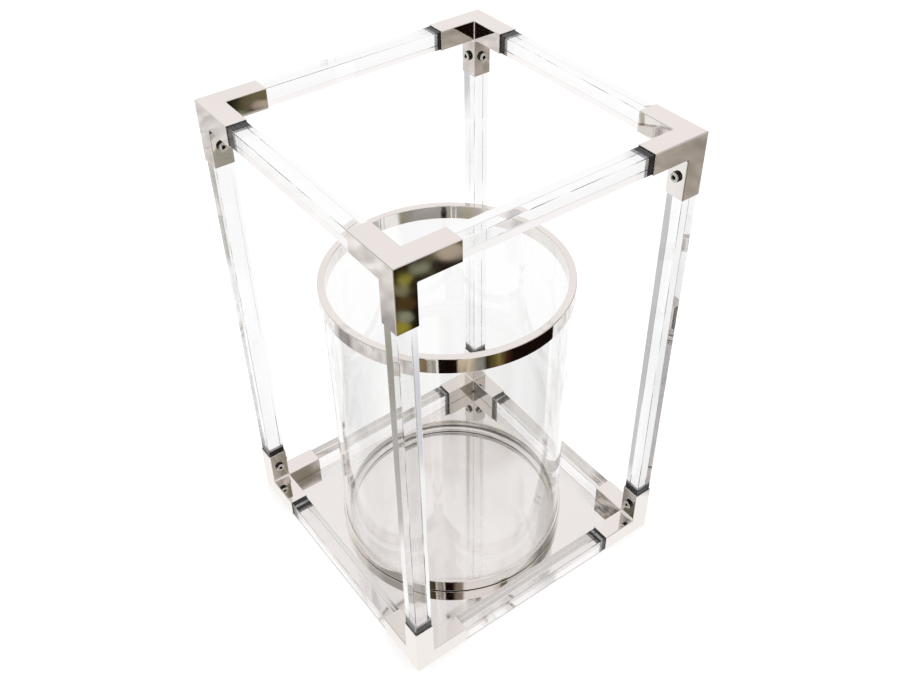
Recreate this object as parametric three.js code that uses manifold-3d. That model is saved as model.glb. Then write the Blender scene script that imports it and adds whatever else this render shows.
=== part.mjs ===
// Ice bucket: a glass vessel with metal bands, standing in an open square frame.
// The frame is clear square rods held by eight three-way corner fittings, with a
// polished sheet under the bottom rails. The vessel lifts straight out of the top.
//
// Millimetres, +Z up, -Y the front. The origin is on the frame's upright centre line,
// at the surface that the bottom fittings stand on.

import * as THREE from 'three';
import { mergeVertices } from 'three/addons/utils/BufferGeometryUtils.js';
import Module from 'manifold-3d';

const wasm = await Module();
wasm.setup();

// Clearances
const FIT = 0.3; // each side, between a piece and the socket or hole it sits in
const SEAT = 0.1; // between faces that rest on each other

// Frame
const FRAME_WIDTH = 274; // outside, across the fittings, both ways
const FRAME_HEIGHT = 439;
const FITTING = 18; // side of a fitting's square arms
const ARM_LENGTH = 53; // from a fitting's outer corner to the mouth of an arm
const SOCKET_WALL = 0.7;
const FITTING_EDGE = 1; // rounding of a fitting's edges
const INNER_FILLET = 2.5; // between two arms
const ROD = FITTING - 2 * (SOCKET_WALL + FIT);
const ROD_EDGE = 0.5;

// Screws, two in each upright arm, on its two inner faces
const SCREW_FROM_END = (FITTING + ARM_LENGTH) / 2;
const HEAD_RADIUS = 4.2;
const HEAD_HEIGHT = 2.6;
const HEAD_RIM = 1.8; // the straight part of the head's side
const HEAD_FLAT = 3.2; // radius of the head's flat top
const SHANK_RADIUS = 2;
const SHANK_IN_POST = 4.4;
const HEX_FLATS = 3;
const HEX_DEPTH = 1.6;

// Base plate, flush with the bottom fittings' undersides and running under the rails
const ROD_INSET = (FITTING - ROD) / 2;
const PLATE_TOP = ROD_INSET - SEAT;

// Vessel
const VESSEL_TOP = 292;
const BAND_RADIUS = 108.4; // outside of both bands
const GLASS_RADIUS = 105.9;
const GLASS_WALL = 3;
const GLASS_FLOOR = 6;
const RIM_WIDTH = 6.6;
const RIM_HEIGHT = 14.4;
const RIM_CAP = 2; // thickness of the channel's web over the glass
const RIM_LIP = 0.9; // how much shorter the channel's inner side is
const PAD_THICKNESS = 0.8;
const PAD_WIDTH = 6;
const BAND_BOTTOM = PLATE_TOP + PAD_THICKNESS + 2 * SEAT;
const BAND_HEIGHT = 13.3;
const BAND_FLANGE = 1.2; // thickness of the flange that the glass stands on
const FLANGE_WIDTH = 9;

// Fineness
const RING_STEPS = 60;
const SCREW_STEPS = 12;
const CORNER_STEPS = 2;

const nickel = { color: 0xd6d0c8, roughness: 0.05, metalness: 1 };
const acrylic = { color: 0xf4f8fa, roughness: 0.03, metalness: 0, transparent: true, opacity: 0.3 };
const glass = { color: 0xeaf3ee, roughness: 0.02, metalness: 0, transparent: true, opacity: 0.3 };
const mirrorSteel = { color: 0xdcdad6, roughness: 0.04, metalness: 1 };
const screwSteel = { color: 0xb9b4ac, roughness: 0.2, metalness: 1 };
const padRubber = { color: 0x26241f, roughness: 0.8, metalness: 0 };

// x to y, y to z and z to x: takes a fitting's upright arm to its other two
const CYCLE = new THREE.Matrix4().makeBasis(
  new THREE.Vector3(0, 1, 0),
  new THREE.Vector3(0, 0, 1),
  new THREE.Vector3(1, 0, 0),
);

function solidOf(geometry) {
  const bare = geometry.clone();
  bare.deleteAttribute('normal');
  bare.deleteAttribute('uv');
  const merged = mergeVertices(bare);
  const corners = merged.index.array;
  const triangles = [];
  for (let i = 0; i < corners.length; i += 3) {
    const [a, b, c] = corners.slice(i, i + 3);
    if (a !== b && b !== c && c !== a) {
      triangles.push(a, b, c);
    }
  }
  return new wasm.Manifold(
    new wasm.Mesh({
      numProp: 3,
      vertProperties: merged.attributes.position.array,
      triVerts: Uint32Array.from(triangles),
    }),
  );
}

function geometryOf(solid) {
  const { vertProperties, triVerts } = solid.getMesh();
  const indexed = new THREE.BufferGeometry();
  indexed.setAttribute('position', new THREE.BufferAttribute(vertProperties, 3));
  indexed.setIndex(new THREE.BufferAttribute(triVerts, 1));
  const faceted = indexed.toNonIndexed();
  faceted.computeVertexNormals();
  return faceted;
}

function part(name, geometry, look) {
  const mesh = new THREE.Mesh(geometry, new THREE.MeshStandardMaterial(look));
  mesh.name = name;
  return mesh;
}

function cycled(geometry, times) {
  const turned = geometry.clone();
  for (let i = 0; i < times; i += 1) {
    turned.applyMatrix4(CYCLE);
  }
  return turned;
}

// A square bar along Z from one height to another, its section centred on the axis
function squareBar(side, edge, from, to) {
  const reach = side / 2;
  const inner = reach - edge;
  const section = new THREE.Shape();
  section.moveTo(reach, -inner);
  for (let quarter = 0; quarter < 4; quarter += 1) {
    const angle = (quarter * Math.PI) / 2;
    const x = quarter === 0 || quarter === 3 ? inner : -inner;
    const y = quarter < 2 ? inner : -inner;
    section.absarc(x, y, edge, angle, angle + Math.PI / 2, false);
  }
  const settings = { depth: to - from, bevelEnabled: false, curveSegments: 1 };
  return new THREE.ExtrudeGeometry(section, settings).translate(0, 0, from);
}

// The web in the inner angle of two arms, along Z over the fitting's width
function filletWeb() {
  const overlap = 1;
  const section = new THREE.Shape();
  section.moveTo(-overlap, -overlap);
  section.lineTo(INNER_FILLET, -overlap);
  section.lineTo(INNER_FILLET, 0);
  section.absarc(INNER_FILLET, INNER_FILLET, INNER_FILLET, -Math.PI / 2, -Math.PI, true);
  section.lineTo(-overlap, INNER_FILLET);
  const settings = { depth: FITTING, bevelEnabled: false, curveSegments: 2 };
  return new THREE.ExtrudeGeometry(section, settings).translate(FITTING, FITTING, 0);
}

// The two screws' holes in an upright's +X and +Y faces, around the upright's axis at the
// height given, from one distance off that axis to another
function screwHoles(height, from, to) {
  const radius = SHANK_RADIUS + FIT;
  const bar = new THREE.CylinderGeometry(radius, radius, to - from, SCREW_STEPS);
  const alongY = bar.translate(0, (from + to) / 2, height);
  const alongX = alongY.clone().rotateZ(-Math.PI / 2);
  return [alongX, alongY];
}

// Outer corner at the origin, with arms along +X, +Y and +Z
function fittingGeometry() {
  const centre = FITTING / 2;
  const upright = (side, edge, from, to) => squareBar(side, edge, from, to).translate(centre, centre, 0);
  const cornerBlock = upright(FITTING, FITTING_EDGE, 0, FITTING);
  const arm = upright(FITTING, FITTING_EDGE, centre, ARM_LENGTH);
  const socket = upright(FITTING - 2 * SOCKET_WALL, ROD_EDGE, FITTING, ARM_LENGTH + 1);
  let body = solidOf(cornerBlock);
  for (let turn = 1; turn < 3; turn += 1) {
    body = body.intersect(solidOf(cycled(cornerBlock, turn)));
  }
  for (let turn = 0; turn < 3; turn += 1) {
    body = body.add(solidOf(cycled(arm, turn)));
    body = body.add(solidOf(cycled(filletWeb(), turn)));
  }
  for (let turn = 0; turn < 3; turn += 1) {
    body = body.subtract(solidOf(cycled(socket, turn)));
  }
  for (const hole of screwHoles(SCREW_FROM_END, centre - 2 * SOCKET_WALL, centre + 1)) {
    body = body.subtract(solidOf(hole.translate(centre, centre, 0)));
  }
  return geometryOf(body);
}

// Upright, centred on its own axis, with blind holes in its +X and +Y faces
function postGeometry() {
  const bottom = FITTING + FIT;
  const top = FRAME_HEIGHT - FITTING - FIT;
  const holeEnd = ROD / 2 - SHANK_IN_POST - FIT;
  let post = solidOf(squareBar(ROD, ROD_EDGE, bottom, top));
  for (const height of [SCREW_FROM_END, FRAME_HEIGHT - SCREW_FROM_END]) {
    for (const hole of screwHoles(height, holeEnd, ROD / 2 + 1)) {
      post = post.subtract(solidOf(hole));
    }
  }
  return geometryOf(post);
}

// Along X, centred on its own axis
function railGeometry() {
  const reach = FRAME_WIDTH / 2 - FITTING - FIT;
  return squareBar(ROD, ROD_EDGE, -reach, reach).rotateY(Math.PI / 2);
}

// A square sheet between the fittings, clear of their fillets, with a flap on each side
// that runs out under the rail between its two sockets
function plateGeometry() {
  const edge = FRAME_WIDTH / 2 - FITTING - FIT;
  const cut = edge - INNER_FILLET;
  const tip = FRAME_WIDTH / 2 - ROD_INSET;
  const half = FRAME_WIDTH / 2 - ARM_LENGTH - FIT;
  const side = [[cut, -edge], [edge, -cut], [edge, -half], [tip, -half], [tip, half], [edge, half]];
  const points = [];
  for (let turn = 0; turn < 4; turn += 1) {
    const angle = (turn * Math.PI) / 2;
    for (const [x, y] of side) {
      points.push(new THREE.Vector2(x, y).rotateAround(new THREE.Vector2(), angle));
    }
  }
  const settings = { depth: PLATE_TOP, bevelEnabled: false };
  return new THREE.ExtrudeGeometry(new THREE.Shape(points), settings);
}

// Turns a profile of radius and height round the Z axis
function turnedGeometry(profile, steps) {
  return new THREE.LatheGeometry(profile, steps).rotateX(Math.PI / 2);
}

// Along +Z, with the face that the head seats on at z = 0 and the shank below it
function screwGeometry() {
  const tip = -(SOCKET_WALL + FIT + SHANK_IN_POST);
  const chamfer = 0.4;
  const top = SEAT + HEAD_HEIGHT;
  const profile = [
    new THREE.Vector2(0, tip),
    new THREE.Vector2(SHANK_RADIUS - chamfer, tip),
    new THREE.Vector2(SHANK_RADIUS, tip + chamfer),
    new THREE.Vector2(SHANK_RADIUS, SEAT),
    new THREE.Vector2(HEAD_RADIUS, SEAT),
  ];
  const rim = new THREE.Vector2(HEAD_RADIUS, SEAT + HEAD_RIM);
  const shoulder = new THREE.Vector2(HEAD_RADIUS - 0.3, top - 0.3);
  const flat = new THREE.Vector2(HEAD_FLAT, top);
  profile.push(...new THREE.QuadraticBezierCurve(rim, shoulder, flat).getPoints(2));
  profile.push(new THREE.Vector2(0, top));
  const hexRadius = HEX_FLATS / Math.sqrt(3);
  const hex = new THREE.CylinderGeometry(hexRadius, hexRadius, 2 * HEX_DEPTH, 6);
  hex.rotateX(Math.PI / 2).translate(0, 0, top);
  return geometryOf(solidOf(turnedGeometry(profile, SCREW_STEPS)).subtract(solidOf(hex)));
}

// Points of a profile given as [radius, height, rounding] corners
function profileOf(corners) {
  const at = (index) => new THREE.Vector2(...corners.at(index % corners.length));
  const points = [];
  corners.forEach(([, , rounding = 0], index) => {
    const corner = at(index);
    if (rounding === 0) {
      points.push(corner);
      return;
    }
    const towards = (other) => other.sub(corner).setLength(rounding).add(corner);
    const arc = new THREE.QuadraticBezierCurve(towards(at(index - 1)), corner, towards(at(index + 1)));
    points.push(...arc.getPoints(CORNER_STEPS));
  });
  return points;
}

function ringGeometry(corners) {
  const profile = profileOf(corners);
  profile.push(profile[0].clone());
  return turnedGeometry(profile, RING_STEPS);
}

function glassGeometry() {
  const bottom = BAND_BOTTOM + BAND_FLANGE + SEAT;
  const floor = bottom + GLASS_FLOOR;
  const top = VESSEL_TOP - RIM_CAP - SEAT;
  const inside = GLASS_RADIUS - GLASS_WALL;
  const profile = profileOf([
    [0, bottom],
    [GLASS_RADIUS, bottom, 1.5],
    [GLASS_RADIUS, top, 1],
    [inside, top, 1],
    [inside, floor, 4],
    [0, floor],
  ]);
  return turnedGeometry(profile, RING_STEPS);
}

// A channel upside down over the glass's rim
function rimBandGeometry() {
  const bottom = VESSEL_TOP - RIM_HEIGHT;
  const inside = BAND_RADIUS - RIM_WIDTH;
  const channelOutside = GLASS_RADIUS + FIT;
  const channelInside = GLASS_RADIUS - GLASS_WALL - FIT;
  return ringGeometry([
    [channelOutside, bottom],
    [BAND_RADIUS, bottom, 0.5],
    [BAND_RADIUS, VESSEL_TOP, 0.8],
    [inside, VESSEL_TOP, 0.8],
    [inside, bottom + RIM_LIP],
    [channelInside, bottom + RIM_LIP],
    [channelInside, VESSEL_TOP - RIM_CAP],
    [channelOutside, VESSEL_TOP - RIM_CAP],
  ]);
}

// A band round the foot, with a flange under the glass
function baseBandGeometry() {
  const inside = GLASS_RADIUS + FIT;
  return ringGeometry([
    [BAND_RADIUS - FLANGE_WIDTH, BAND_BOTTOM],
    [BAND_RADIUS, BAND_BOTTOM, 0.6],
    [BAND_RADIUS, BAND_BOTTOM + BAND_HEIGHT, 0.8],
    [inside, BAND_BOTTOM + BAND_HEIGHT],
    [inside, BAND_BOTTOM + BAND_FLANGE],
    [BAND_RADIUS - FLANGE_WIDTH, BAND_BOTTOM + BAND_FLANGE],
  ]);
}

function basePadGeometry() {
  const outside = BAND_RADIUS - 1.6;
  const bottom = PLATE_TOP + SEAT;
  return ringGeometry([
    [outside - PAD_WIDTH, bottom],
    [outside, bottom],
    [outside, bottom + PAD_THICKNESS],
    [outside - PAD_WIDTH, bottom + PAD_THICKNESS],
  ]);
}

// A fitting and its two screws, in the fitting's own frame
function fittingGroup(name, geometries) {
  const group = new THREE.Group();
  group.add(part(`${name}_fitting`, geometries.fitting, nickel));
  const onX = part(`${name}_screw_1`, geometries.screw, screwSteel);
  onX.position.set(FITTING, FITTING / 2, SCREW_FROM_END);
  onX.rotation.y = Math.PI / 2;
  const onY = part(`${name}_screw_2`, geometries.screw, screwSteel);
  onY.position.set(FITTING / 2, FITTING, SCREW_FROM_END);
  onY.rotation.x = -Math.PI / 2;
  group.add(onX, onY);
  return group;
}

// One quarter of the frame: a corner's fittings and post, and the rails to the next corner
function quarterGroup(corner, side, geometries) {
  const quarter = new THREE.Group();
  const edge = -FRAME_WIDTH / 2;
  const axis = edge + FITTING / 2;

  const lower = fittingGroup(`bottom_${corner}`, geometries);
  lower.position.set(edge, edge, 0);
  const upper = fittingGroup(`top_${corner}`, geometries);
  upper.position.set(edge, edge, FRAME_HEIGHT);
  upper.quaternion.setFromAxisAngle(new THREE.Vector3(1, 1, 0).normalize(), Math.PI);

  const post = part(`${corner}_post`, geometries.post, acrylic);
  post.position.set(axis, axis, 0);
  const bottomRail = part(`bottom_${side}_rail`, geometries.rail, acrylic);
  bottomRail.position.set(0, axis, FITTING / 2);
  const topRail = part(`top_${side}_rail`, geometries.rail, acrylic);
  topRail.position.set(0, axis, FRAME_HEIGHT - FITTING / 2);

  quarter.add(lower, upper, post, bottomRail, topRail);
  return quarter;
}

function frameGroup() {
  const geometries = {
    fitting: fittingGeometry(),
    screw: screwGeometry(),
    post: postGeometry(),
    rail: railGeometry(),
  };
  const corners = ['front_left', 'front_right', 'back_right', 'back_left'];
  const sides = ['front', 'right', 'back', 'left'];
  const frame = new THREE.Group();
  corners.forEach((corner, turn) => {
    const quarter = quarterGroup(corner, sides[turn], geometries);
    quarter.rotation.z = (turn * Math.PI) / 2;
    frame.add(quarter);
  });
  frame.add(part('base_plate', plateGeometry(), mirrorSteel));
  return frame;
}

function vesselGroup() {
  const vessel = new THREE.Group();
  vessel.add(
    part('glass_vessel', glassGeometry(), glass),
    part('rim_band', rimBandGeometry(), nickel),
    part('base_band', baseBandGeometry(), nickel),
    part('base_pad', basePadGeometry(), padRubber),
  );
  return vessel;
}

const iceBucket = new THREE.Group();
iceBucket.add(frameGroup(), vesselGroup());

export default iceBucket;
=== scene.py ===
"""Looks of the ice bucket: a banded glass vessel in a frame of clear rods and polished fittings.

Metres, +Z up, -Y the front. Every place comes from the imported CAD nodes' boxes.
"""

import math

import bmesh
import bpy
from mathutils import Matrix, Vector


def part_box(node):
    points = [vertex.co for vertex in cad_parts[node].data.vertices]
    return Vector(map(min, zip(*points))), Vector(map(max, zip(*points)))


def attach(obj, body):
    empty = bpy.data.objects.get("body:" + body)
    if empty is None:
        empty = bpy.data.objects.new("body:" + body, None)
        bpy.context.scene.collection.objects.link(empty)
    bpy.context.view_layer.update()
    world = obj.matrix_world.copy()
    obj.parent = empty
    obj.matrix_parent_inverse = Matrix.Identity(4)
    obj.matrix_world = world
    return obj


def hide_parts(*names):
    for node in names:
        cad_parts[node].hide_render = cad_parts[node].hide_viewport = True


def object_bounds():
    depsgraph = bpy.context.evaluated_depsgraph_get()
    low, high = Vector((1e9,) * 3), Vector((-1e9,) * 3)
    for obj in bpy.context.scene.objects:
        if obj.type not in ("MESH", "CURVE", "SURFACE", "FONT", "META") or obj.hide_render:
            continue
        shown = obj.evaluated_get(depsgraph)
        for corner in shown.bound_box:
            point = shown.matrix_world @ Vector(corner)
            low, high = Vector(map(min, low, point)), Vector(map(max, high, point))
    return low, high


MM = 0.001
CORNERS = ("front_left", "front_right", "back_right", "back_left")
SIDES = ("front", "right", "back", "left")
LEVELS = ("bottom", "top")
SHADE_BLACK_SLOT, SATIN = 1, 2  # material slots of a fitting or a screw, after the polished one; the first is painted black shade

# The object's own measures that the nodes' boxes don't give, in millimetres
SOCKET_WALL = 0.7
SOCKET_SHINE = 3.0  # depth of the socket's satin wall, before its painted black shade begins
HEAD_HEIGHT = 2.6
SHANK = 0.48  # a screw's shank over its head, in radius
SHANK_TIP = 0.4
HEX_FLATS = 3.2
HEX_DEPTH = 1.6
GLASS_WALL = 3.0
GLASS_FLOOR = 6.0
BAND_GAP = 0.3  # between the glass and the bands
RIM_WIDTH = 6.6
RIM_CAP = 2.0  # thickness over the glass
RIM_LIP = 0.9  # how far the rim's inner side stops short of the outer one
FLANGE = 1.2
FLANGE_WIDTH = 9.0
PAD_WIDTH = 6.0

# Roundings, in millimetres
FITTING_FILLET = 2.5  # in the inner angles beside the upright arm
FITTING_EDGE = 1.0
FITTING_RIM = 0.3  # the mouths' outer edges
HEAD_TOP = 0.85
HEAD_SEAT = 0.15
PLATE_EDGE = 0.3
GLASS_HEEL = 1.5
GLASS_LIP = 1.0
GLASS_BOWL = 4.0  # inside, round the floor
BAND_EDGE = 0.9
SKIRT_EDGE = 0.5  # under the rim band
FOOT_EDGE = 0.7  # under the base band
SMALL_EDGE = 0.2

# Detail of the visible meshes
RING_STEPS = 192
SCREW_STEPS = 32
CORNER_STEPS = 5
ON_AXIS = 1e-7  # metres

# Camera, in degrees, frame widths and millimetres of lens
AZIMUTH = -35.5
ELEVATION = 40.56
ROLL = -1.12
DISTANCE = 3.334
LOOK_HEIGHT = 0.802
LOOK_ASIDE = 0.0103
LENS = 41.41

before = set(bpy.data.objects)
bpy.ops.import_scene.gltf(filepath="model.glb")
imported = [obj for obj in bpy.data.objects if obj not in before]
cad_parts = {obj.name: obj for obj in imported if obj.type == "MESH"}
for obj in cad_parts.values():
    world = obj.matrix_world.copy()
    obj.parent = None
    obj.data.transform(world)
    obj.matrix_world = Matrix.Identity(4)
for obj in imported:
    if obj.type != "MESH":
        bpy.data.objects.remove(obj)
cad_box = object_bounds()
WIDTH = cad_box[1].x - cad_box[0].x


# ---------------------------------------------------------------- helpers


def add_object(name, mesh):
    piece = bpy.data.objects.new(name, mesh)
    bpy.context.scene.collection.objects.link(piece)
    return piece


def mesh_from(bm, name, smooth=True):
    bmesh.ops.recalc_face_normals(bm, faces=bm.faces)
    mesh = bpy.data.meshes.new(name)
    bm.to_mesh(mesh)
    bm.free()
    for face in mesh.polygons:
        face.use_smooth = smooth
    return mesh


def evaluated_mesh(piece):
    """The piece's mesh with its modifiers applied."""
    graph = bpy.context.evaluated_depsgraph_get()
    return bpy.data.meshes.new_from_object(piece.evaluated_get(graph), depsgraph=graph)


def stand_for(piece, node, body, slot, *materials):
    """Puts a piece with its materials in the place of a CAD node, on the node's body."""
    for material in materials:
        piece.data.materials.append(material)
    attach(piece, body)
    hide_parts(node)
    return piece


def rounded(corners):
    """Points of a profile given as (radius, height, rounding) corners in millimetres."""
    points = []
    count = len(corners)
    for i, (x, y, rounding) in enumerate(corners):
        corner = Vector((x, y))
        if not rounding:
            points.append(corner)
            continue
        before = Vector(corners[i - 1][:2]) - corner
        after = Vector(corners[(i + 1) % count][:2]) - corner
        start = corner + before.normalized() * rounding
        end = corner + after.normalized() * rounding
        for k in range(CORNER_STEPS + 1):
            t = k / CORNER_STEPS
            points.append(start * (1 - t) ** 2 + corner * 2 * t * (1 - t) + end * t**2)
    return points


def turned(name, corners, steps=RING_STEPS, closed=True):
    """A solid of revolution round Z. An open profile starts and ends on the axis."""
    bm = bmesh.new()
    rings = []
    for point in rounded(corners):
        radius, height = point * MM
        if radius < ON_AXIS:
            rings.append([bm.verts.new((0, 0, height))])
            continue
        ring = []
        for k in range(steps):
            angle = 2 * math.pi * k / steps
            ring.append(bm.verts.new((radius * math.cos(angle), radius * math.sin(angle), height)))
        rings.append(ring)
    pairs = list(zip(rings, rings[1:]))
    if closed:
        pairs.append((rings[-1], rings[0]))
    for lower, upper in pairs:
        for k in range(steps):
            corners_of_face = []
            for ring, step in ((lower, k), (lower, k + 1), (upper, k + 1), (upper, k)):
                vert = ring[step % len(ring)]
                if vert not in corners_of_face:
                    corners_of_face.append(vert)
            bm.faces.new(corners_of_face)
    return mesh_from(bm, name)


def weighted_normals(piece):
    """Flat faces stay flat in reflections, and the rounding between them takes the turn."""
    piece.modifiers.new("normals", "WEIGHTED_NORMAL").weight = 100


# ---------------------------------------------------------------- shader nodes


def ramp_of(tree, source, stops):
    """A colour ramp of (position, colour) stops."""
    ramp = tree.nodes.new("ShaderNodeValToRGB")
    elements = ramp.color_ramp.elements
    while len(elements) < len(stops):
        elements.new(0.5)
    for element, (position, colour) in zip(elements, stops):
        element.position = position
        element.color = (*colour, 1)
    tree.links.new(source, ramp.inputs["Fac"])
    return ramp.outputs["Color"]


def noise_of(tree, place, scale, detail=2.0, distortion=0.0):
    """A noise's grey value, about 0.5 on average."""
    noise = tree.nodes.new("ShaderNodeTexNoise")
    noise.inputs["Scale"].default_value = scale
    noise.inputs["Detail"].default_value = detail
    noise.inputs["Distortion"].default_value = distortion
    tree.links.new(place, noise.inputs["Vector"])
    return noise.outputs["Fac"]


def blend_of(tree, factor, first, second, kind="MIX"):
    """Two colours blended. The factor and each colour may be a socket or a plain value."""
    mix = tree.nodes.new("ShaderNodeMix")
    mix.data_type = "RGBA"
    mix.blend_type = kind
    for socket, value in (("A", first), ("B", second)):
        if isinstance(value, tuple):
            mix.inputs[socket].default_value = (*value, 1)
        else:
            tree.links.new(value, mix.inputs[socket])
    if isinstance(factor, float):
        mix.inputs["Factor"].default_value = factor
    else:
        tree.links.new(factor, mix.inputs["Factor"])
    return mix.outputs["Result"]


def fade_of(tree, source, start, end):
    """1 up to the start and 0 from the end on, with a straight fade between."""
    fade = tree.nodes.new("ShaderNodeMapRange")
    fade.inputs["From Min"].default_value = start
    fade.inputs["From Max"].default_value = end
    fade.inputs["To Min"].default_value = 1.0
    fade.inputs["To Max"].default_value = 0.0
    tree.links.new(source, fade.inputs["Value"])
    return fade.outputs["Result"]


def soft_spot(tree, place, centre, radius, edge):
    """1 inside a ball round the centre and 0 outside, with a soft edge."""
    away = tree.nodes.new("ShaderNodeVectorMath")
    away.operation = "DISTANCE"
    away.inputs[1].default_value = centre
    tree.links.new(place, away.inputs[0])
    return fade_of(tree, away.outputs["Value"], radius - edge, radius + edge)


def maths(tree, operation, *values):
    """A math node of sockets and numbers."""
    node = tree.nodes.new("ShaderNodeMath")
    node.operation = operation
    for socket, value in zip(node.inputs, values):
        if isinstance(value, float):
            socket.default_value = value
        else:
            tree.links.new(value, socket)
    return node.outputs["Value"]


# ---------------------------------------------------------------- materials

# The range that a noise's values mostly lie in
NOISE_LOW = 0.3
NOISE_HIGH = 0.7


class Look:
    """A material with a Principled shader, and short calls for the nodes that vary it."""

    def __init__(self, name, **sockets):
        self.material = bpy.data.materials.new(name)
        self.material.use_nodes = True
        self.tree = self.material.node_tree
        self.shader = self.tree.nodes["Principled BSDF"]
        for socket, value in sockets.items():
            self.shader.inputs[socket.replace("_", " ")].default_value = value
        self.place = self.tree.nodes.new("ShaderNodeTexCoord").outputs["Object"]

    def noise(self, scale, detail=2.0, stretch=(1, 1, 1)):
        """A noise with so many waves to the metre, and more of them along a stretched axis."""
        mapping = self.tree.nodes.new("ShaderNodeMapping")
        mapping.inputs["Scale"].default_value = stretch
        self.tree.links.new(self.place, mapping.inputs["Vector"])
        return noise_of(self.tree, mapping.outputs["Vector"], scale, detail)

    def vary(self, socket, source, low, high):
        """Lets a noise drive a number from low to high."""
        spread = self.tree.nodes.new("ShaderNodeMapRange")
        spread.inputs["From Min"].default_value = NOISE_LOW
        spread.inputs["From Max"].default_value = NOISE_HIGH
        spread.inputs["To Min"].default_value = low
        spread.inputs["To Max"].default_value = high
        self.tree.links.new(source, spread.inputs["Value"])
        self.tree.links.new(spread.outputs["Result"], self.shader.inputs[socket])

    def tint(self, source, dark, pale):
        """Lets a noise drive the base colour from dark to pale."""
        colour = blend_of(self.tree, source, dark, pale)
        self.tree.links.new(colour, self.shader.inputs["Base Color"])

    def bump(self, sources):
        """Adds up bumps given as (source, height in metres)."""
        normal = None
        for source, height in sources:
            bump = self.tree.nodes.new("ShaderNodeBump")
            bump.inputs["Strength"].default_value = 1
            bump.inputs["Distance"].default_value = height
            self.tree.links.new(source, bump.inputs["Height"])
            if normal:
                self.tree.links.new(normal, bump.inputs["Normal"])
            normal = bump.outputs["Normal"]
        self.tree.links.new(normal, self.shader.inputs["Normal"])


def polished_nickel():
    look = Look("polished_nickel", Metallic=1.0, Roughness=0.04)
    look.tint(look.noise(14, detail=3), (0.80, 0.765, 0.735), (0.86, 0.83, 0.805))
    look.vary("Roughness", look.noise(26, detail=4), 0.02, 0.07)
    look.bump([(look.noise(55, detail=1), 0.00004), (look.noise(900, detail=1), 0.0000006)])
    return look.material


def mirror_plate():
    look = Look("mirror_plate", Metallic=1.0, Roughness=0.03)
    look.tint(look.noise(9, detail=3), (0.82, 0.80, 0.785), (0.87, 0.855, 0.84))
    look.vary("Roughness", look.noise(18, detail=5), 0.015, 0.07)
    brushing = look.noise(700, detail=1, stretch=(1, 9, 1))
    look.bump([(look.noise(11, detail=1), 0.00012), (brushing, 0.0000005)])
    return look.material


def screw_steel():
    look = Look("screw_steel", Metallic=1.0, Roughness=0.18)
    look.tint(look.noise(300, detail=2), (0.62, 0.60, 0.57), (0.74, 0.72, 0.69))
    look.vary("Roughness", look.noise(500, detail=3), 0.12, 0.28)
    look.bump([(look.noise(1500, detail=2), 0.000003)])
    return look.material


def clear_acrylic():
    look = Look("clear_acrylic", Transmission_Weight=1.0, IOR=1.49, Roughness=0.0)
    look.tint(look.noise(20, detail=2), (0.985, 0.99, 0.998), (1.0, 1.0, 1.0))
    look.vary("Roughness", look.noise(60, detail=4), 0.0, 0.006)
    return look.material


def clear_glass():
    look = Look("clear_glass", Transmission_Weight=1.0, IOR=1.52, Roughness=0.0)
    look.tint(look.noise(8, detail=2), (0.99, 0.992, 0.99), (1.0, 1.0, 1.0))
    look.vary("Roughness", look.noise(40, detail=4), 0.0, 0.008)
    look.bump([(look.noise(22, detail=1, stretch=(1, 1, 0.3)), 0.00003)])
    return look.material


def socket_shade_black():
    # Near black: painted shade for the sockets' deep walls, the screws' hex sockets and the sides of their
    # heads.
    look = Look("socket_shade_black", Roughness=0.6, Specular_IOR_Level=0.15)
    look.tint(look.noise(200, detail=3), (0.004, 0.003, 0.003), (0.02, 0.017, 0.015))
    look.vary("Roughness", look.noise(350, detail=3), 0.5, 0.8)
    look.bump([(look.noise(900, detail=2), 0.00001)])
    return look.material


def satin_socket():
    look = Look("satin_socket", Roughness=0.6)
    look.tint(look.noise(120, detail=3), (0.62, 0.61, 0.64), (0.74, 0.73, 0.76))
    look.vary("Roughness", look.noise(350, detail=3), 0.45, 0.7)
    look.bump([(look.noise(900, detail=2), 0.000005)])
    return look.material


def pad_rubber():
    # Near black, in a thin ring under the vessel: the dark line between the base band and its reflection in
    # the plate.
    look = Look("pad_rubber", Roughness=0.8)
    look.tint(look.noise(400, detail=3), (0.012, 0.012, 0.011), (0.03, 0.029, 0.027))
    look.vary("Roughness", look.noise(600, detail=2), 0.65, 0.9)
    look.bump([(look.noise(1800, detail=2), 0.00002)])
    return look.material


# ---------------------------------------------------------------- fittings and screws


def fitting_size():
    """The arm's side and length. A rod lies in the middle of its arm."""
    low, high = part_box("bottom_front_left_fitting")
    rail_low, rail_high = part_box("bottom_front_rail")
    return (rail_low.z - low.z) + (rail_high.z - low.z), high.x - low.x


def turn_of(vector, count):
    """x to y, y to z and z to x, count times."""
    for _ in range(count):
        vector = (vector[2], vector[0], vector[1])
    return vector


def three_way_block(side, reach):
    """Three square arms that meet at the origin and run along +X, +Y and +Z."""
    bm = bmesh.new()
    outlines = (
        ((0, 0, 0), (0, reach, 0), (side, reach, 0), (side, side, 0), (reach, side, 0), (reach, 0, 0)),
        ((side, side, 0), (reach, side, 0), (reach, side, side), (side, side, side)),
        ((side, 0, side), (side, side, side), (reach, side, side), (reach, 0, side)),
        ((reach, 0, 0), (reach, side, 0), (reach, side, side), (reach, 0, side)),
    )
    verts = {}
    mouths = []
    for count in range(3):
        for outline in outlines:
            ring = [turn_of(point, count) for point in outline]
            for point in ring:
                if point not in verts:
                    verts[point] = bm.verts.new(point)
            face = bm.faces.new([verts[point] for point in ring])
            if outline is outlines[-1]:
                mouths.append(face)
    bmesh.ops.recalc_face_normals(bm, faces=bm.faces)
    return bm, mouths


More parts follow.
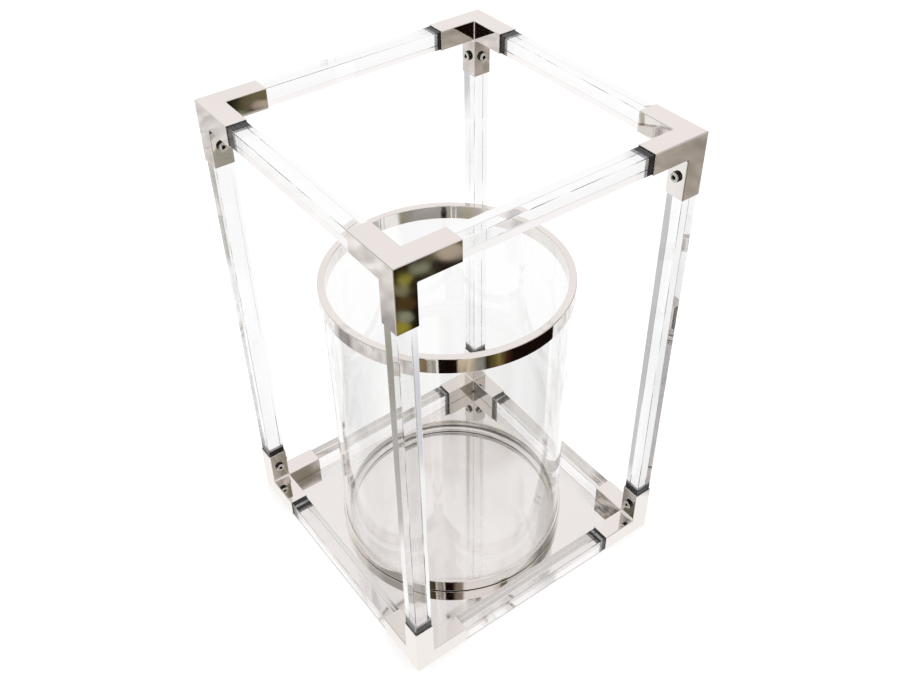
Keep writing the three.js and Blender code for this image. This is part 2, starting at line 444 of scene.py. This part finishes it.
def sink(bm, face, depth, slot):
    """Sinks a face straight in by a depth, and gives its new walls a material slot."""
    inward = -face.normal * depth
    made = bmesh.ops.extrude_face_region(bm, geom=[face])["geom"]
    bmesh.ops.translate(bm, verts=[item for item in made if isinstance(item, bmesh.types.BMVert)], vec=inward)
    bmesh.ops.delete(bm, geom=[face], context="FACES_ONLY")
    end = next(item for item in made if isinstance(item, bmesh.types.BMFace))
    for edge in end.edges:
        for wall in edge.link_faces:
            if wall is not end:
                wall.material_index = slot
    return end


def fitting_mesh():
    """A three-way fitting with rounded edges, three sockets and fillets beside its upright arm."""
    side, reach = fitting_size()
    bm, mouths = three_way_block(side, reach)
    weight = bm.edges.layers.float.new("bevel_weight_edge")
    for edge in bm.edges:
        start, end = (vert.co for vert in edge.verts)
        level = abs(end.z - start.z) < 0.5 * side
        fillet = level and edge.calc_face_angle_signed() < 0
        rim = any(face in mouths for face in edge.link_faces)
        rounding = FITTING_FILLET if fillet else FITTING_RIM if rim else FITTING_EDGE
        edge[weight] = rounding / FITTING_FILLET
    for mouth in mouths:
        bmesh.ops.inset_individual(bm, faces=[mouth], thickness=SOCKET_WALL * MM)
        shoulder = sink(bm, mouth, SOCKET_SHINE * MM, SATIN)
        # The socket's deeper walls and its end get the painted black shade.
        sink(bm, shoulder, reach - side - SOCKET_SHINE * MM, SHADE_BLACK_SLOT).material_index = SHADE_BLACK_SLOT
    block = add_object("fitting_block", mesh_from(bm, "fitting_block"))
    bevel = block.modifiers.new("edges", "BEVEL")
    bevel.limit_method = "WEIGHT"
    bevel.width = FITTING_FILLET * MM
    bevel.segments = 4
    mesh = evaluated_mesh(block)
    bpy.data.objects.remove(block)
    return mesh


def placed_copy(mesh, name, matrix):
    """A copy of a mesh moved by a matrix, which may mirror it."""
    copy = mesh.copy()
    copy.name = name
    copy.transform(matrix)
    if matrix.determinant() < 0:
        copy.flip_normals()
    return copy


def corner_signs(corner):
    """The signs of a corner's x and y."""
    return (-1 if "left" in corner else 1), (-1 if "front" in corner else 1)


def add_fittings(polished, shade_black, satin):
    mesh = fitting_mesh()
    for level in LEVELS:
        for corner in CORNERS:
            node = f"{level}_{corner}_fitting"
            low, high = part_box(node)
            right, back = corner_signs(corner)
            upper = level == "top"
            outer = (
                high.x if right > 0 else low.x,
                high.y if back > 0 else low.y,
                high.z if upper else low.z,
            )
            mirror = Matrix.Diagonal((-right, -back, -1 if upper else 1, 1))
            place = Matrix.Translation(outer) @ mirror
            piece = add_object(f"fitting_{level}_{corner}", placed_copy(mesh, node, place))
            weighted_normals(piece)
            stand_for(piece, node, "frame", "polished_nickel", polished, shade_black, satin)


def screw_mesh(length, radius):
    """A low cylinder-head screw along +Z, with the tip of its shank at z = 0. Sizes in millimetres."""
    shank = SHANK * radius
    seat = length - HEAD_HEIGHT
    profile = [
        (0, 0, 0),
        (shank - SHANK_TIP, 0, 0),
        (shank, SHANK_TIP, 0),
        (shank, seat, 0),
        (radius, seat, HEAD_SEAT),
        (radius, length, HEAD_TOP),
        (0, length, 0),
    ]
    body = add_object("screw_body", turned("screw_body", profile, SCREW_STEPS, closed=False))
    bm = bmesh.new()
    across = HEX_FLATS * MM / math.sqrt(3)
    place = Matrix.Translation((0, 0, length * MM))
    depth = 2 * HEX_DEPTH * MM
    bmesh.ops.create_cone(
        bm, cap_ends=True, segments=6, radius1=across, radius2=across, depth=depth, matrix=place
    )
    hexagon = add_object("screw_hex", mesh_from(bm, "screw_hex", smooth=False))
    cut = body.modifiers.new("hex", "BOOLEAN")
    cut.object = hexagon
    cut.operation = "DIFFERENCE"
    mesh = evaluated_mesh(body)
    paint_screw_shade(mesh, across, radius * MM)
    bpy.data.objects.remove(body)
    bpy.data.objects.remove(hexagon)
    return mesh


def paint_screw_shade(mesh, across, radius):
    """Gives the hexagon's walls and floor and the side of a screw's head the slot of painted black shade."""
    top = max(vert.co.z for vert in mesh.vertices)
    for face in mesh.polygons:
        away = math.hypot(face.center.x, face.center.y)
        sunk = (top - face.center.z) / (HEX_DEPTH * MM)
        in_hex = away < 1.01 * across and 0.1 < sunk < 1.1
        on_side = away > 0.98 * radius and abs(face.normal.z) < 0.5
        if in_hex or on_side:
            face.material_index = SHADE_BLACK_SLOT


def add_screws(steel, shade_black):
    low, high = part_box("bottom_front_left_screw_1")
    mesh = screw_mesh((high.x - low.x) / MM, (high.z - low.z) / 2 / MM)
    for level in LEVELS:
        for corner in CORNERS:
            right, back = corner_signs(corner)
            for number in (1, 2):
                node = f"{level}_{corner}_screw_{number}"
                low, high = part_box(node)
                size = high - low
                along_x = size.x < size.y
                facing = Vector((-right, 0, 0)) if along_x else Vector((0, -back, 0))
                middle = (low + high) / 2
                tip = middle - facing * (size.x if along_x else size.y) / 2
                turn = facing.to_track_quat("Z", "Y").to_matrix().to_4x4()
                place = Matrix.Translation(tip) @ turn
                piece = add_object(f"screw_{level}_{corner}_{number}", placed_copy(mesh, node, place))
                weighted_normals(piece)
                stand_for(piece, node, "frame", "screw_steel", steel, shade_black)


# ---------------------------------------------------------------- rods and plate


def dressed(node, material):
    """The CAD node's own piece, with one material."""
    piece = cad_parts[node]
    piece.data.materials.clear()
    piece.data.materials.append(material)
    return piece


def dress_rods(material):
    names = [f"{level}_{side}_rail" for level in LEVELS for side in SIDES]
    names += [f"{corner}_post" for corner in CORNERS]
    for name in names:
        see_through(dressed(name, material))


def dress_plate(material):
    plate = dressed("base_plate", material)
    bevel = plate.modifiers.new("edges", "BEVEL")
    bevel.limit_method = "ANGLE"
    bevel.width = PLATE_EDGE * MM
    bevel.segments = 2


def see_through(piece):
    """Keeps a clear piece from shading the floor."""
    piece.visible_shadow = False
    piece.visible_diffuse = False


# ---------------------------------------------------------------- vessel


def ring_of(node, name, slot, material, corners, closed=True):
    """A turned piece that rides on the vessel in its node's place."""
    piece = add_object(name, turned(name, corners, closed=closed))
    weighted_normals(piece)
    return stand_for(piece, node, "vessel", slot, material)


def turned_size(node):
    """A round node's radius, bottom and top in millimetres."""
    low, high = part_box(node)
    return high.x / MM, low.z / MM, high.z / MM


def add_vessel(glass, nickel, near_black):
    outside, bottom, top = turned_size("glass_vessel")
    inside = outside - GLASS_WALL
    vessel = ring_of(
        "glass_vessel",
        "vessel_glass",
        "clear_glass",
        glass,
        [
            (0, bottom, 0),
            (outside, bottom, GLASS_HEEL),
            (outside, top, GLASS_LIP),
            (inside, top, GLASS_LIP),
            (inside, bottom + GLASS_FLOOR, GLASS_BOWL),
            (0, bottom + GLASS_FLOOR, 0),
        ],
        closed=False,
    )
    see_through(vessel)

    band, skirt, cap = turned_size("rim_band")
    ring_of(
        "rim_band",
        "vessel_rim",
        "polished_nickel",
        nickel,
        [
            (outside + BAND_GAP, skirt, 0),
            (band, skirt, SKIRT_EDGE),
            (band, cap, BAND_EDGE),
            (band - RIM_WIDTH, cap, BAND_EDGE),
            (band - RIM_WIDTH, skirt + RIM_LIP, SMALL_EDGE),
            (inside - BAND_GAP, skirt + RIM_LIP, SMALL_EDGE),
            (inside - BAND_GAP, cap - RIM_CAP, 0),
            (outside + BAND_GAP, cap - RIM_CAP, 0),
        ],
    )

    band, foot, foot_top = turned_size("base_band")
    ring_of(
        "base_band",
        "vessel_foot",
        "polished_nickel",
        nickel,
        [
            (band - FLANGE_WIDTH, foot, 0),
            (band, foot, FOOT_EDGE),
            (band, foot_top, BAND_EDGE),
            (outside + BAND_GAP, foot_top, SMALL_EDGE),
            (outside + BAND_GAP, foot + FLANGE, 0),
            (band - FLANGE_WIDTH, foot + FLANGE, 0),
        ],
    )

    pad, pad_bottom, pad_top = turned_size("base_pad")
    ring_of(
        "base_pad",
        "vessel_pad",
        "pad_rubber",
        near_black,
        [
            (pad - PAD_WIDTH, pad_bottom, 0),
            (pad, pad_bottom, SMALL_EDGE),
            (pad, pad_top, SMALL_EDGE),
            (pad - PAD_WIDTH, pad_top, 0),
        ],
    )


# ---------------------------------------------------------------- studio

# The floor that the camera sees, and the grounds that metal and clear pieces show: heights and sides
FLOOR_DROP = -0.0002
GROUND_DROP = -0.0004
FLOOR_SIZE = 12 * WIDTH
GROUND_SIZE = 16 * WIDTH

# The room's dome. Its walls fade into the ceiling's colour round WALL_TOP, and it is open above DOME_TOP.
DOME = 4.4 * WIDTH
WALL_TOP = 0.86 * DOME
WALL_FADE = 0.03 * WALL_TOP
CLEAR_ABOVE = 35  # degrees
DOME_TOP = 85  # degrees
DOME_STEP = 5  # degrees

# Where the grounds' zones end, as the two sides of a soft edge in frame widths from the middle
# UNDER_EDGE bounds the painted shadow under the object.
UNDER_EDGE = (0.495, 0.50)
NEAR_EDGE = (0.84, 0.94)
FAR_EDGE = (1.76, 1.90)
CLEAR_FAR_EDGE = (2.05, 2.3)

BOUNCES = 32


def glowing(name):
    """An emission material, its node tree and its emission node."""
    material = bpy.data.materials.new(name)
    material.use_nodes = True
    material.cycles.emission_sampling = "NONE"
    tree = material.node_tree
    tree.nodes.clear()
    glow = tree.nodes.new("ShaderNodeEmission")
    glow.inputs["Strength"].default_value = 1
    output = tree.nodes.new("ShaderNodeOutputMaterial")
    tree.links.new(glow.outputs["Emission"], output.inputs["Surface"])
    return material, tree, glow


def floor_material():
    """White, and bright enough by itself that only soft shadows show."""
    material = bpy.data.materials.new("floor")
    material.use_nodes = True
    shader = material.node_tree.nodes["Principled BSDF"]
    shader.inputs["Base Color"].default_value = (0.9, 0.9, 0.9, 1)
    shader.inputs["Roughness"].default_value = 1.0
    shader.inputs["Specular IOR Level"].default_value = 0.0
    shader.inputs["Emission Color"].default_value = (1, 1, 1, 1)
    shader.inputs["Emission Strength"].default_value = 0.3
    return material


def stage_sheet(name, mesh, material, height=0):
    sheet = add_object(name, mesh)
    sheet.data.materials.append(material)
    sheet.location.z = height
    return sheet


def seen_only_by(sheet, *kinds):
    """Hides the sheet from every kind of ray but these, glossy or transmission."""
    for ray in ("camera", "diffuse", "glossy", "transmission", "shadow", "volume_scatter"):
        setattr(sheet, f"visible_{ray}", ray in kinds)


def square_mesh(name, size):
    bm = bmesh.new()
    bmesh.ops.create_grid(bm, x_segments=1, y_segments=1, size=size / 2)
    return mesh_from(bm, name, smooth=False)


def dome_mesh(name, start, end):
    """The dome's zone between two elevations, in whole steps of the dome."""
    bm = bmesh.new()
    rows = 180 // DOME_STEP
    bmesh.ops.create_uvsphere(bm, u_segments=2 * rows, v_segments=rows, radius=DOME)
    low, high = (DOME * math.sin(math.radians(edge)) for edge in (start - 1, end + 1))
    outside = [vert for vert in bm.verts if not low < vert.co.z < high]
    bmesh.ops.delete(bm, geom=outside, context="VERTS")
    return mesh_from(bm, name)


def around(tree, waver):
    """The place on a stage piece, its azimuth (-180 to 180 degrees as 0 to 1), distance and height."""
    place = tree.nodes.new("ShaderNodeTexCoord").outputs["Object"]
    split = tree.nodes.new("ShaderNodeSeparateXYZ")
    tree.links.new(place, split.inputs["Vector"])
    angle = maths(tree, "ARCTAN2", split.outputs["Y"], split.outputs["X"])
    turn = maths(tree, "MULTIPLY_ADD", angle, 1 / (2 * math.pi), 0.5 - 0.5 * waver)
    turn = maths(tree, "MULTIPLY_ADD", noise_of(tree, place, 7), waver, turn)
    distance = tree.nodes.new("ShaderNodeVectorMath")
    distance.operation = "LENGTH"
    tree.links.new(place, distance.inputs[0])
    return place, turn, distance.outputs["Value"], split.outputs["Z"]


def sectors(tree, turn, stops):
    """A colour for each azimuth, from (degrees, colour) stops."""
    return ramp_of(tree, turn, [((degrees + 180) / 360, colour) for degrees, colour in stops])


WHITE = (1, 1, 1)
BRIGHT = (1.06, 1.04, 1.03)
BLACK = (0.008, 0.004, 0.003)
SKY = (0.99, 0.955, 0.95)
STONE = (0.75, 0.73, 0.72)
TAN = (0.25, 0.19, 0.11)
BEIGE = (0.60, 0.51, 0.38)
OLIVE = (0.20, 0.16, 0.05)
GREY_BROWN = (0.42, 0.38, 0.335)

# The ground that metal shows, by azimuth: as far out as FAR_EDGE, and beyond it
NEAR_GROUND = (
    (-152, STONE),
    (-148, TAN),
    (-137, TAN),
    (-134, BLACK),
    (-119.5, BLACK),
    (-117.5, BEIGE),
    (-108, BEIGE),
    (-105, (0.28, 0.27, 0.25)),
    (-99, (0.28, 0.27, 0.25)),
    (-96, (0.03, 0.02, 0.012)),
    (-86, OLIVE),
    (-80, (0.05, 0.02, 0.01)),
    (-74, BLACK),
    (-32, BLACK),
    (-27, STONE),
    (10, WHITE),
    (128, WHITE),
    (136, (0.38, 0.36, 0.36)),
    (148, (0.38, 0.36, 0.36)),
    (156, STONE),
)
FAR_GROUND = (
    (-152, STONE),
    (-148, TAN),
    (-137, TAN),
    (-134, BLACK),
    (-119.5, BLACK),
    (-117.5, BEIGE),
    (-105, BEIGE),
    (-98, OLIVE),
    (-80, OLIVE),
    (-77, BLACK),
    (-72, BLACK),
    (-70, (0.15, 0.13, 0.07)),
    (-62, (0.15, 0.13, 0.07)),
    (-54, GREY_BROWN),
    (-32, GREY_BROWN),
    (-24, WHITE),
    (100, WHITE),
    (112, (0.78, 0.75, 0.74)),
    (120, (0.78, 0.75, 0.74)),
    (130, (0.88, 0.85, 0.83)),
)

# Things on the ground at the front: place and radius in metres, and colour
CLUTTER = (
    ((0.240, -0.600, 0), 0.030, BLACK),
    ((0.185, -0.575, 0), 0.030, BLACK),
    ((0.145, -0.535, 0), 0.014, BLACK),
    ((0.114, -0.536, 0), 0.013, (0.30, 0.26, 0.03)),
    ((0.130, -0.552, 0), 0.011, (0.26, 0.27, 0.19)),
    ((0.145, -0.572, 0), 0.015, (0.07, 0.04, 0.012)),
    ((0.157, -0.600, 0), 0.014, (0.22, 0.21, 0.12)),
    ((0.174, -0.616, 0), 0.012, (0.32, 0.28, 0.05)),
    ((0.204, -0.622, 0), 0.016, (0.24, 0.25, 0.17)),
    ((0.256, -0.630, 0), 0.020, (0.47, 0.40, 0.32)),
)

# The walls of the room by azimuth
WALLS = (
    (-180, (0.55, 0.53, 0.51)),
    (-160, (0.40, 0.37, 0.33)),
    (-152, (0.13, 0.11, 0.06)),
    (-143.5, (0.04, 0.035, 0.018)),
    (-141, (0.31, 0.28, 0.21)),
    (-138, (0.31, 0.28, 0.21)),
    (-135.5, BLACK),
    (-126, BLACK),
    (-123, (0.24, 0.19, 0.14)),
    (-117, (0.28, 0.23, 0.18)),
    (-114, SKY),
    (-86, SKY),
    (-78, (0.66, 0.63, 0.60)),
    (-42, (0.75, 0.72, 0.70)),
    (-24, (0.23, 0.22, 0.21)),
    (0, (0.47, 0.45, 0.43)),
    (20, SKY),
    (100, SKY),
    (118, (0.84, 0.82, 0.79)),
    (132, (0.84, 0.82, 0.79)),
    (138, (0.60, 0.58, 0.59)),
    (150, (0.60, 0.58, 0.59)),
    (160, (0.45, 0.43, 0.41)),
)

# Things high on the walls: azimuth and elevation, radius over the dome's, and colour
ON_THE_WALLS = (
    ((-73, 50.5), 0.045, (0.21, 0.185, 0.125)),
    ((-70.5, 54.5), 0.055, (0.17, 0.145, 0.085)),
    ((137, 54.8), 0.060, (0.13, 0.11, 0.06)),
    ((143, 56), 0.040, (0.08, 0.068, 0.035)),
)


def towards(azimuth, elevation):
    """A place on the dome."""
    az, el = math.radians(azimuth), math.radians(elevation)
    return DOME * Vector((math.cos(az) * math.cos(el), math.sin(az) * math.cos(el), math.sin(el)))


def spotted(tree, place, colour, spots, edge):
    """Lays round spots, given as (centre, radius, colour), over a colour."""
    for centre, radius, spot in spots:
        colour = blend_of(tree, soft_spot(tree, place, centre, radius, edge), colour, spot)
    return colour


def within(tree, distance, edge):
    """1 inside a soft edge given in frame widths, and 0 beyond it."""
    return fade_of(tree, distance, edge[0] * WIDTH, edge[1] * WIDTH)


def round_the_foot(tree, place, distance, ground, near):
    """The near colour close round the object, and black under it: a painted shadow of the object."""
    split = tree.nodes.new("ShaderNodeSeparateXYZ")
    tree.links.new(place, split.inputs["Vector"])
    sides = [maths(tree, "ABSOLUTE", split.outputs[axis]) for axis in "XY"]
    ground = blend_of(tree, within(tree, distance, NEAR_EDGE), ground, near)
    return blend_of(tree, within(tree, maths(tree, "MAXIMUM", *sides), UNDER_EDGE), ground, BLACK)


def add_room_ground():
    """The ground that polished metal shows."""
    material, tree, glow = glowing("room_ground")
    place, turn, distance, _ = around(tree, waver=0.010)
    far = sectors(tree, turn, FAR_GROUND)
    near = sectors(tree, turn, NEAR_GROUND)
    ground = blend_of(tree, within(tree, distance, FAR_EDGE), far, near)
    mottle = noise_of(tree, place, 30, detail=2, distortion=0.5)
    shades = ramp_of(tree, mottle, ((0.2, (0.6, 0.6, 0.6)), (0.5, WHITE), (0.8, (1.4, 1.4, 1.4))))
    ground = blend_of(tree, 1.0, ground, shades, kind="MULTIPLY")
    ground = spotted(tree, place, ground, CLUTTER, edge=0.003)
    tree.links.new(round_the_foot(tree, place, distance, ground, BRIGHT), glow.inputs["Color"])
    sheet = stage_sheet("room_ground", square_mesh("room_ground", GROUND_SIZE), material, GROUND_DROP)
    seen_only_by(sheet, "glossy")


def add_room_walls():
    """The walls and ceiling that polished metal shows. Clear pieces show their upper part only."""
    material, tree, glow = glowing("room_walls")
    place, turn, _, height = around(tree, waver=0.004)
    low = fade_of(tree, height, WALL_TOP - WALL_FADE, WALL_TOP + WALL_FADE)
    colour = blend_of(tree, low, SKY, sectors(tree, turn, WALLS))
    things = [(towards(*centre), radius * DOME, shade) for centre, radius, shade in ON_THE_WALLS]
    tree.links.new(spotted(tree, place, colour, things, edge=0.01 * DOME), glow.inputs["Color"])
    walls = stage_sheet("room_walls", dome_mesh("room_walls", 0, CLEAR_ABOVE), material)
    seen_only_by(walls, "glossy")
    ceiling = stage_sheet("room_ceiling", dome_mesh("room_ceiling", CLEAR_ABOVE, DOME_TOP), material)
    seen_only_by(ceiling, "glossy", "transmission")


# The ground that clear pieces show, by azimuth: as far out as CLEAR_FAR_EDGE, and beyond it
THROUGH_CLEAR = (
    (-172, WHITE),
    (-164, (0.50, 0.47, 0.46)),
    (-152, (0.42, 0.39, 0.28)),
    (-138, (0.38, 0.36, 0.32)),
    (-90, (0.36, 0.35, 0.34)),
    (-79, (0.29, 0.27, 0.21)),
    (-74.5, (0.29, 0.27, 0.21)),
    (-70, WHITE),
    (-50, WHITE),
    (-47, (0.56, 0.55, 0.56)),
    (-39, (0.56, 0.55, 0.56)),
    (-35, WHITE),
    (144, WHITE),
    (150, (0.68, 0.67, 0.72)),
    (161, (0.68, 0.67, 0.72)),
    (168, WHITE),
)
FAR_THROUGH_CLEAR = (
    (-46, WHITE),
    (-43.5, (0.56, 0.55, 0.56)),
    (-38.5, (0.56, 0.55, 0.56)),
    (-36, WHITE),
)

# A dark thing on that ground, which the rim band's inner side shows through the glass
CLEAR_CLUTTER = (
    ((-0.168, -0.253, 0), 0.019, BLACK),
    ((-0.183, -0.277, 0), 0.019, BLACK),
)


def add_underlay():
    """The ground that clear pieces show: grey at the front and the left, and mostly white elsewhere."""
    material, tree, glow = glowing("underlay")
    place, turn, distance, _ = around(tree, waver=0.004)
    far = sectors(tree, turn, FAR_THROUGH_CLEAR)
    near = sectors(tree, turn, THROUGH_CLEAR)
    ground = blend_of(tree, within(tree, distance, CLEAR_FAR_EDGE), far, near)
    ground = spotted(tree, place, ground, CLEAR_CLUTTER, edge=0.004)
    tree.links.new(round_the_foot(tree, place, distance, ground, WHITE), glow.inputs["Color"])
    sheet = stage_sheet("underlay", square_mesh("underlay", FLOOR_SIZE), material, GROUND_DROP)
    seen_only_by(sheet, "transmission")


def add_studio():
    """A white world and floor, and what the metal and the clear pieces show."""
    scene = bpy.context.scene
    scene.view_settings.view_transform = "Standard"
    scene.cycles.max_bounces = BOUNCES
    scene.cycles.transmission_bounces = BOUNCES
    scene.cycles.glossy_bounces = BOUNCES

    world = bpy.data.worlds.new("studio")
    scene.world = world
    world.use_nodes = True
    background = world.node_tree.nodes["Background"]
    background.inputs["Color"].default_value = (1, 1, 1, 1)
    background.inputs["Strength"].default_value = 1.0

    floor = stage_sheet("floor", square_mesh("floor", FLOOR_SIZE), floor_material(), FLOOR_DROP)
    floor.visible_glossy = False
    floor.visible_transmission = False
    add_room_ground()
    add_room_walls()
    add_underlay()


def add_camera():
    """Looks down at the object from AZIMUTH and ELEVATION."""
    data = bpy.data.cameras.new("camera")
    data.lens = LENS
    data.clip_start = 0.01
    camera = bpy.data.objects.new("camera", data)
    bpy.context.scene.collection.objects.link(camera)
    az, el = math.radians(AZIMUTH), math.radians(ELEVATION)
    back = Vector((math.sin(az) * math.cos(el), -math.cos(az) * math.cos(el), math.sin(el)))
    aside = Vector((math.cos(az), math.sin(az), 0)) * LOOK_ASIDE * WIDTH
    camera.location = Vector((0, 0, LOOK_HEIGHT * WIDTH)) + aside + back * DISTANCE * WIDTH
    turn = back.to_track_quat("Z", "Y") @ Matrix.Rotation(math.radians(ROLL), 3, "Z").to_quaternion()
    camera.rotation_euler = turn.to_euler()
    bpy.context.scene.camera = camera


# ---------------------------------------------------------------- the scene

add_camera()
nickel = polished_nickel()
shade_black = socket_shade_black()
add_fittings(nickel, shade_black, satin_socket())
add_screws(screw_steel(), shade_black)
dress_rods(clear_acrylic())
dress_plate(mirror_plate())
add_vessel(clear_glass(), nickel, pad_rubber())
add_studio()
